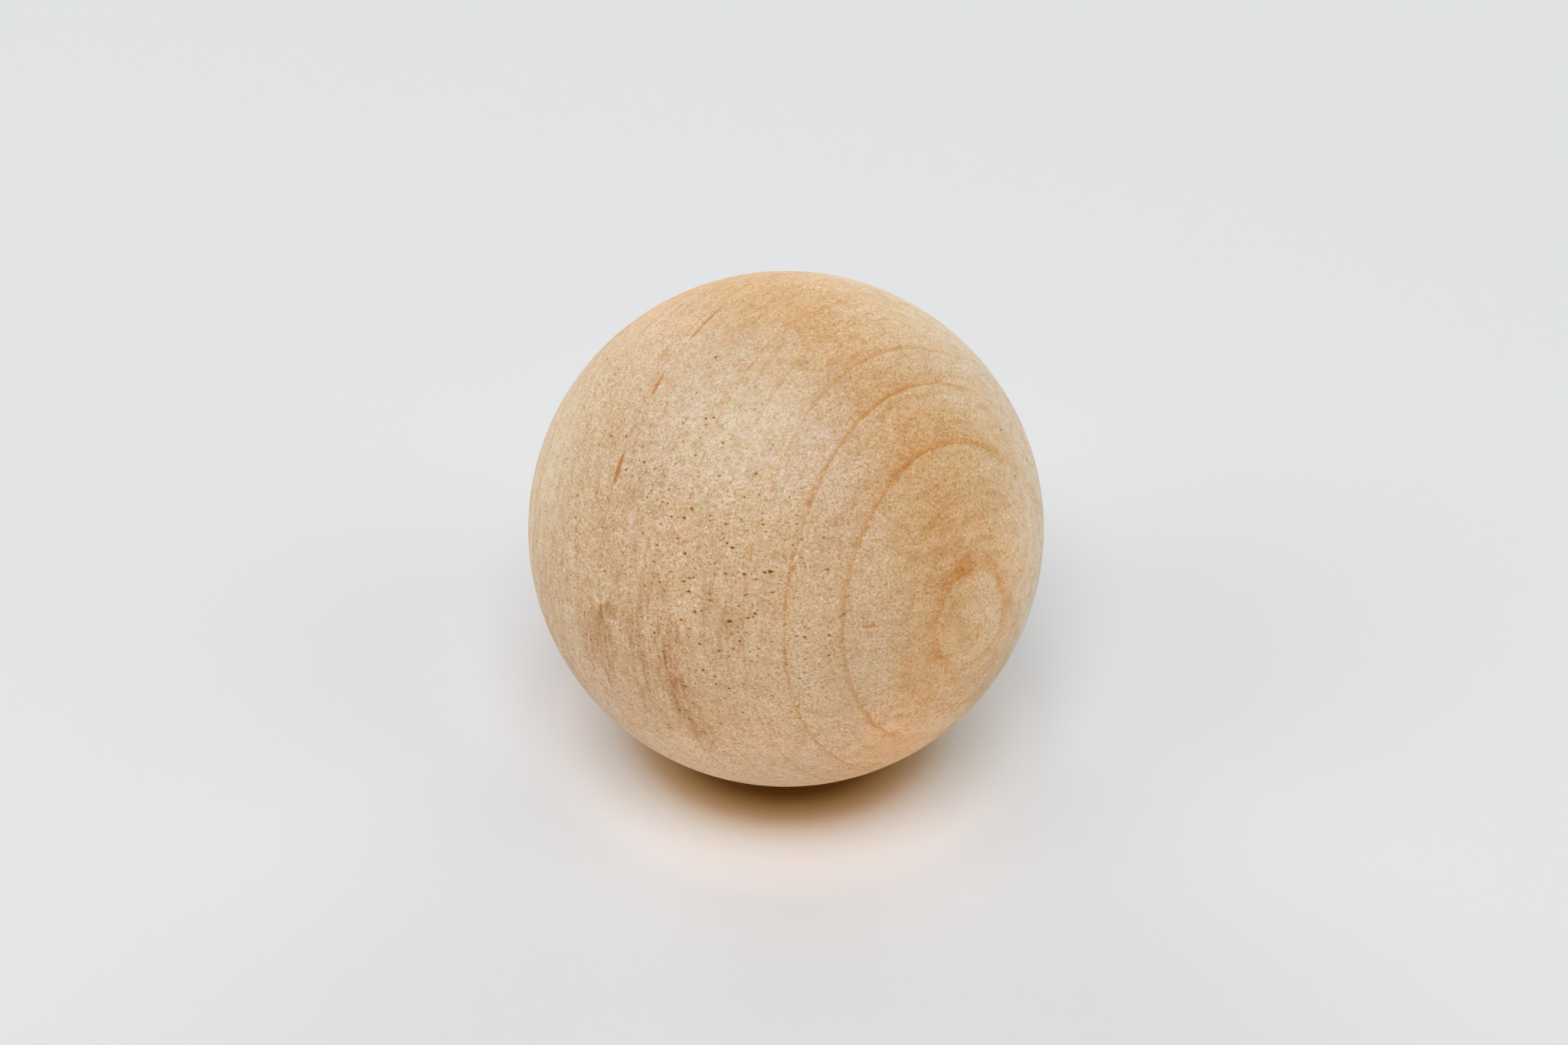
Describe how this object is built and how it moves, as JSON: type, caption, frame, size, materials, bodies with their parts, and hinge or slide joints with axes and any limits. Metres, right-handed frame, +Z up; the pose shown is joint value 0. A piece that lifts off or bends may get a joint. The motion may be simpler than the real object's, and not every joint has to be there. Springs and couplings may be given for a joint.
{
  "type": "wooden ball",
  "caption": "Solid turned wooden ball, sanded smooth and unfinished, with a shallow centre mark at each end of its turning axis.",
  "frame": {"origin": "centre of the ball", "axes": "+Z up as the ball lies on a table, -Y towards the viewer, +X to the viewer's right. The turning axis, which is also the direction of the grain, leaves the ball at its front left, about 12 degrees above the horizontal."},
  "size_m": [0.038, 0.038, 0.038],
  "materials": {
    "wood": "bare sanded pale hardwood, matt, with faint growth rings and fine dark pores"
  },
  "bodies": {
    "root": {"ball": "wood"}
  },
  "joints": []
}
